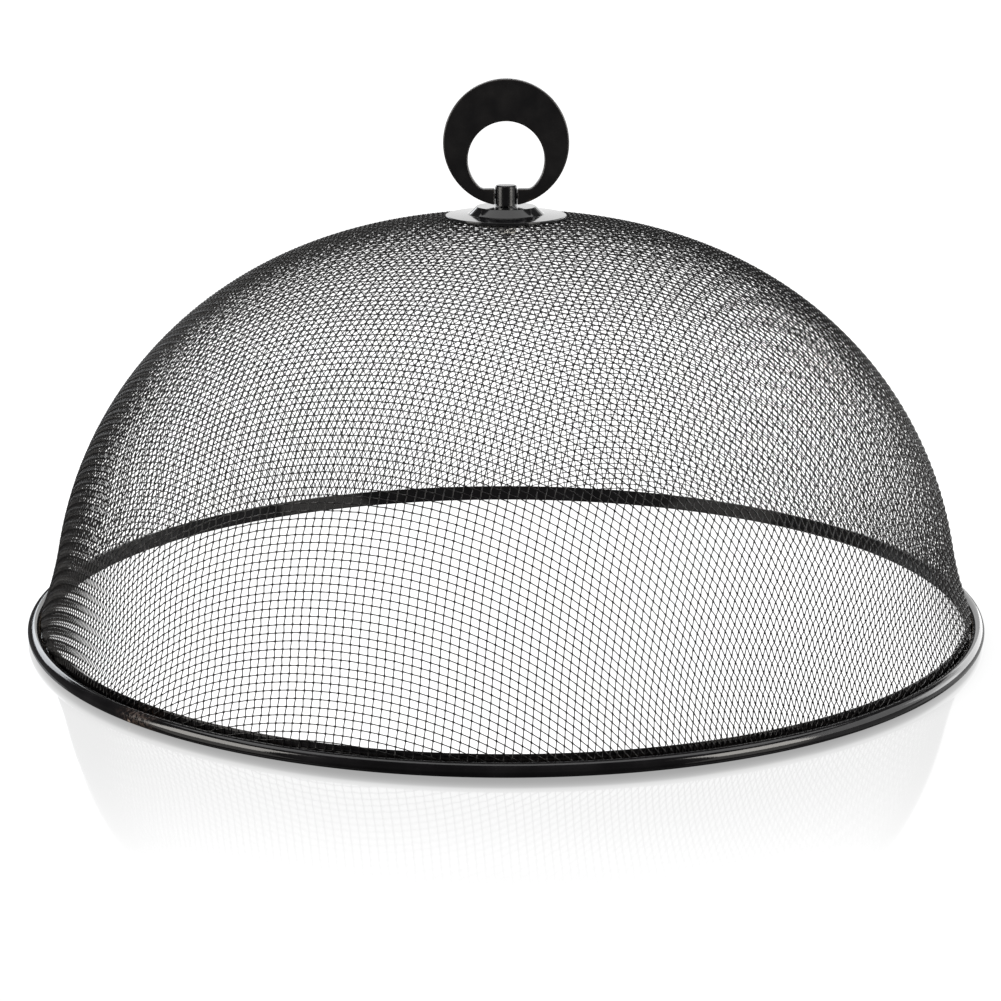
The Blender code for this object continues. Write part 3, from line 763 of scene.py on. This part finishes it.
def dress_hidden_pieces(material):
    """The CAD solids that nothing replaces, in their material."""
    for name in HIDDEN_PIECES:
        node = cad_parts[name]
        node.data.materials.clear()
        node.data.materials.append(material)


# Woven wires: a net with cells of one size, draped on the dome


def outside_dome(points):
    """Negative inside the weave's middle surface, zero on it and positive outside."""
    rise = np.clip((FLARE_TOP - points[..., 2]) / (FLARE_TOP - FLARE_BOTTOM), 0.0, 1.0)
    across = np.hypot(points[..., 0], points[..., 1]) - FLARE_OUT * rise**2
    up = points[..., 2] - DOME_BASE
    across_share = (np.maximum(across, 0.0) / DOME_RADIUS) ** SHOULDER_POWER
    return across_share + (np.maximum(up, 0.0) / DOME_RISE) ** CROWN_POWER - 1.0


def dome_normals(points):
    """The dome's outward directions, from its slopes over a wire's thickness."""
    slopes = []
    for axis in np.eye(3) * WIRE_RADIUS:
        slopes.append(outside_dome(points + axis) - outside_dome(points - axis))
    slopes = np.stack(slopes, -1)
    return slopes / np.maximum(np.linalg.norm(slopes, axis=-1, keepdims=True), SHORTEST_NORMAL)


def swing_onto_dome(centres, outward, upward, lengths):
    """The dome's points at given lengths from their centres, found by swinging each wire on to it."""
    low = np.full(len(centres), -math.pi / 2)
    high = np.full(len(centres), math.pi / 2)
    for _ in range(BISECTIONS):
        angle = (low + high) / 2
        arm = outward * np.cos(angle)[:, None] + upward * np.sin(angle)[:, None]
        points = centres + arm * lengths[:, None]
        beyond = outside_dome(points) > 0
        high = np.where(beyond, angle, high)
        low = np.where(beyond, low, angle)
    return points


def edge_of_net(first, axis, pitch):
    """The net's crossings along one plane of symmetry, from the crown to the rim."""
    outward = np.eye(3)[axis]
    points = [first]
    while points[-1][2] > WIRE_END_HEIGHT:
        upward = np.zeros(3)
        upward[axis], upward[2] = -outward[2], outward[axis]
        point = swing_onto_dome(points[-1][None], outward[None], upward[None], np.array([pitch]))[0]
        outward = (point - points[-1]) / pitch
        points.append(point)
    return points


def next_crossings(beside, behind, inner):
    """Crossings one pitch from two known ones each, on the dome and away from the cell's inner one."""
    span = np.linalg.norm(behind - beside, axis=1)
    across = (behind - beside) / span[:, None]
    share = (PITCH_ACROSS**2 - PITCH_ALONG**2 + span**2) / (2 * span)
    middle = beside + across * share[:, None]
    reach = np.sqrt(np.maximum(PITCH_ACROSS**2 - share**2, 0.0))
    outward = middle - inner
    outward -= across * np.sum(outward * across, axis=1)[:, None]
    outward /= np.linalg.norm(outward, axis=1)[:, None]
    upward = np.cross(outward, across)
    upward *= np.sign(np.sum(upward * dome_normals(middle), axis=1))[:, None]
    return swing_onto_dome(middle, outward, upward, reach)


def quarter_net():
    """Crossings of one quarter of the net, in rows and columns, not a number below the rim."""
    start = np.array([[PITCH_ALONG / 2, PITCH_ACROSS / 2, DOME_BASE]])
    up = np.array([[0.0, 0.0, 1.0]])
    first = swing_onto_dome(start, np.zeros((1, 3)), up, np.array([DOME_RISE]))[0]
    row = edge_of_net(first, 0, PITCH_ALONG)
    column = edge_of_net(first, 1, PITCH_ACROSS)
    net = np.full((len(row), len(column), 3), np.nan)
    net[:, 0] = row
    net[0, :] = column
    for total in range(2, len(row) + len(column) - 1):
        i = np.arange(max(1, total - len(column) + 1), min(total, len(row)))
        j = total - i
        above = net[i - 1, j - 1, 2] > WIRE_END_HEIGHT
        known = ~np.isnan(net[i, j - 1, 0] + net[i - 1, j, 0])
        i, j = i[above & known], j[above & known]
        if len(i):
            net[i, j] = next_crossings(net[i, j - 1], net[i - 1, j], net[i - 1, j - 1])
    return net


def whole_net():
    """All four quarters, turned to how the mesh lies in the photograph."""
    quarter = quarter_net()
    half = np.concatenate([quarter[::-1] * (-1, 1, 1), quarter])
    net = np.concatenate([half[:, ::-1] * (1, -1, 1), half], axis=1)
    cosine, sine = math.cos(NET_TURN), math.sin(NET_TURN)
    return net @ np.array([[cosine, sine, 0], [-sine, cosine, 0], [0, 0, 1]])


def strands(net, first_side):
    """Each wire's points, normals and radii, with its neighbours crossed over and under by turns."""
    normals = dome_normals(np.nan_to_num(net))
    for index in range(len(net)):
        crossings = net[index]
        kept = ~np.isnan(crossings[:, 0])
        kept &= crossings[:, 2] > WIRE_END_HEIGHT
        kept &= np.hypot(crossings[:, 0], crossings[:, 1]) > WIRE_HOLE_RADIUS
        places = np.flatnonzero(kept)
        if not len(places):
            continue
        for run in np.split(places, np.flatnonzero(np.diff(places) > 1) + 1):
            if len(run) > 1:
                sides = first_side * np.where((index + run) % 2 == 0, 1.0, -1.0)
                yield weave(crossings[run], normals[index, run], sides)


def weave(crossings, normals, sides):
    """One wire: a point at each crossing, where it is thicker, and one to either side of it."""
    before, after = crossings[:-1], crossings[1:]
    near, far = KNOT_REACH_SHARE, 1 - KNOT_REACH_SHARE
    lift = WEAVE_LIFT * math.cos(math.pi * KNOT_REACH_SHARE)
    points = np.empty((3 * len(crossings) - 2, 3))
    points[0::3] = crossings + normals * (sides * WEAVE_LIFT)[:, None]
    points[1::3] = before * far + after * near + normals[:-1] * (sides[:-1] * lift)[:, None]
    points[2::3] = before * near + after * far + normals[1:] * (sides[1:] * lift)[:, None]
    normal = np.repeat(normals, 3, axis=0)[: len(points)]
    radii = np.full(len(points), WIRE_RADIUS)
    radii[0::3] *= KNOT_SHARE
    return points, normal, radii


def tube(points, normals, radii):
    """Rings of corners round a wire."""
    along = np.gradient(points, axis=0)
    along /= np.linalg.norm(along, axis=1)[:, None]
    side = np.cross(along, normals)
    side /= np.linalg.norm(side, axis=1)[:, None]
    out = np.cross(side, along)
    turns = (np.arange(WIRE_SIDES) * math.tau / WIRE_SIDES)[None, :, None]
    ring = out[:, None] * np.cos(turns) + side[:, None] * np.sin(turns)
    corners = points[:, None] + ring * radii[:, None, None]
    return corners.reshape(-1, 3)


def tube_quads(first, rings):
    """Corner numbers of the faces between a wire's rings, the first ring's numbers from the first on."""
    base = first + np.arange(rings - 1)[:, None] * WIRE_SIDES
    side = np.arange(WIRE_SIDES)[None, :]
    after = (side + 1) % WIRE_SIDES
    quads = [base + side, base + after, base + WIRE_SIDES + after, base + WIRE_SIDES + side]
    return np.stack(quads, -1).reshape(-1, 4)


def tube_map(number, count, rings, longest):
    """Texture places of a wire's faces: its own strip of the square, with a gap to the next wire's."""
    left = np.arange(rings - 1)[:, None] / longest
    right = left + 1 / longest
    low = (number + (np.arange(WIRE_SIDES)[None, :] + 0.5) / (WIRE_SIDES + 1)) / count
    high = low + 1 / (WIRE_SIDES + 1) / count
    corners = ((left, low), (left, high), (right, high), (right, low))
    places = [np.stack(np.broadcast_arrays(u, v), -1) for u, v in corners]
    return np.stack(places, 2).reshape(-1, 2)


def make_wires(name, wires, material):
    """One mesh of many wires, each a closed tube, laid side by side in its own texture map."""
    corners, quads, caps, maps = [], [], [], []
    first = 0
    longest = max(len(points) for points, _, _ in wires)
    cap = np.arange(WIRE_SIDES)
    for number, (points, normals, radii) in enumerate(wires):
        rings = len(points)
        corners.append(tube(points, normals, radii))
        quads.append(tube_quads(first, rings))
        maps.append(tube_map(number, len(wires), rings, longest))
        caps.append(first + cap[::-1])
        caps.append(first + (rings - 1) * WIRE_SIDES + cap)
        first += rings * WIRE_SIDES
    mesh = bpy.data.meshes.new(name)
    faces = np.concatenate(quads).tolist() + np.stack(caps).tolist()
    mesh.from_pydata(np.concatenate(corners).tolist(), [], faces)
    places = np.concatenate(maps + [np.zeros((WIRE_SIDES * len(caps), 2))])
    layer = mesh.uv_layers.new(name="OFBake")
    layer.data.foreach_set("uv", places.astype(np.float32).ravel())
    obj = new_object(name, mesh)
    obj.data.materials.append(material)
    obj.data.shade_smooth()
    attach(obj, "cover")
    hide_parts("mesh_dome")


def make_weave(material):
    """Both sets of wires, each in a few meshes of about the same size."""
    net = whole_net()
    families = (("front_to_back_wires", net, 1), ("side_to_side_wires", net.transpose(1, 0, 2), -1))
    for name, family, side in families:
        wires = list(strands(family, side))
        lengths = np.cumsum([len(points) for points, _, _ in wires])
        group = (lengths - 1) * WIRE_GROUPS // lengths[-1]
        for number in range(WIRE_GROUPS):
            members = [wire for wire, its_group in zip(wires, group) if its_group == number]
            make_wires(f"{name}_{number + 1}", members, material)


# Stage


def shade_band(tree, place):
    """Share of the floor's glow that is left in front of the rim, at each distance from its foot."""
    first = SHADE_BAND[0][0]
    last = SHADE_BAND[-1][0]
    distance = distance_from(tree, place, (0.0, -SHADE_SHIFT, 0.0))
    along = spread(tree, distance, (FOOT_RADIUS + first, FOOT_RADIUS + last))
    band = tree.nodes.new("ShaderNodeValToRGB")
    stops = band.color_ramp.elements
    for index, (reach, level) in enumerate(SHADE_BAND):
        share = (reach - first) / (last - first)
        if index == 0:
            stop = stops[0]
        elif index == len(SHADE_BAND) - 1:
            stop = stops[-1]
        else:
            stop = stops.new(share)
        stop.position = share
        stop.color = (level / FLOOR_GLOW, level / FLOOR_GLOW, level / FLOOR_GLOW, 1.0)
    tree.links.new(along, band.inputs["Fac"])
    return band.outputs["Color"]


def make_floor():
    """A white gloss table that glows, less so in a band in front of the rim, where its shade falls."""
    material = bpy.data.materials.new("floor_white")
    material.use_nodes = True
    tree = material.node_tree
    tree.nodes.clear()
    place = object_place(tree)
    inside = spread(tree, distance_from(tree, place, (0, 0, 0)), UNSHADED_INSIDE, (1.0, 0.0))
    behind = spread(tree, separate(tree, place)["Y"], UNSHADED_BEHIND)
    bright = combine(tree, "MAXIMUM", combine(tree, "MAXIMUM", shade_band(tree, place), inside), behind)
    seen = spread(tree, ray_kind(tree, "Is Camera Ray"), (0.0, 1.0), (FLOOR_LIGHT, FLOOR_GLOW))
    emission = tree.nodes.new("ShaderNodeEmission")
    tree.links.new(combine(tree, "MULTIPLY", bright, seen), emission.inputs["Strength"])
    gloss = tree.nodes.new("ShaderNodeBsdfGlossy")
    gloss.inputs["Roughness"].default_value = FLOOR_GLOSS_ROUGHNESS
    mix = tree.nodes.new("ShaderNodeMixShader")
    mix.inputs["Fac"].default_value = FLOOR_GLOSS_SHARE
    tree.links.new(emission.outputs["Emission"], mix.inputs[1])
    tree.links.new(gloss.outputs["BSDF"], mix.inputs[2])
    output = tree.nodes.new("ShaderNodeOutputMaterial")
    tree.links.new(mix.outputs["Shader"], output.inputs["Surface"])
    bpy.ops.mesh.primitive_plane_add(size=FLOOR_SIZE)
    floor = bpy.context.active_object
    floor.name = "floor"
    floor.data.materials.append(material)
    floor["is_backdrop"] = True


def make_softbox(name, place, target, width, height, radiance, colour):
    """A rectangular light, unseen itself, that shines evenly towards a point."""
    data = bpy.data.lights.new(name, "AREA")
    data.shape = "RECTANGLE"
    data.size = width
    data.size_y = height
    data.energy = radiance * math.pi * width * height
    data.color = colour
    light = bpy.data.objects.new(name, data)
    light.location = place
    light.rotation_euler = (Vector(target) - Vector(place)).to_track_quat("-Z", "Y").to_euler()
    light.visible_camera = False
    bpy.context.scene.collection.objects.link(light)


def make_light():
    """A white studio that the camera sees brighter than it lights the pieces, and the softboxes."""
    world = bpy.data.worlds.new("studio")
    world.use_nodes = True
    tree = world.node_tree
    background = tree.nodes["Background"]
    background.inputs["Color"].default_value = (*WHITE, 1.0)
    seen = spread(tree, ray_kind(tree, "Is Camera Ray"), (0.0, 1.0), (WORLD_LIGHT, WORLD_GLOW))
    tree.links.new(seen, background.inputs["Strength"])
    bpy.context.scene.world = world
    for softbox in SOFTBOXES:
        make_softbox(*softbox)


def make_camera():
    """The photograph's camera: its place, its pitch and its angle of view."""
    data = bpy.data.cameras.new("camera")
    data.sensor_width = SENSOR_WIDTH
    data.lens = FOCAL_PIXELS / FRAME_PIXELS * SENSOR_WIDTH
    camera = bpy.data.objects.new("camera", data)
    camera.location = CAMERA_PLACE
    camera.rotation_euler = (math.pi / 2 - CAMERA_PITCH, 0, 0)
    bpy.context.scene.collection.objects.link(camera)
    bpy.context.scene.camera = camera


make_camera()
make_floor()
make_light()
bpy.context.scene.view_settings.view_transform = "Standard"

make_rim(rim_enamel_with_wear_and_highlight())
make_weave(wire_paint())
make_plate(enamel("plate_enamel")[0])
make_stem(enamel("stem_enamel")[0])
make_ring(handle_plastic())
dress_hidden_pieces(zinc_plate())

boxes = {"cad": cad_box, "visual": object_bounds()}
{key: [list(corner) for corner in box] for key, box in boxes.items()}
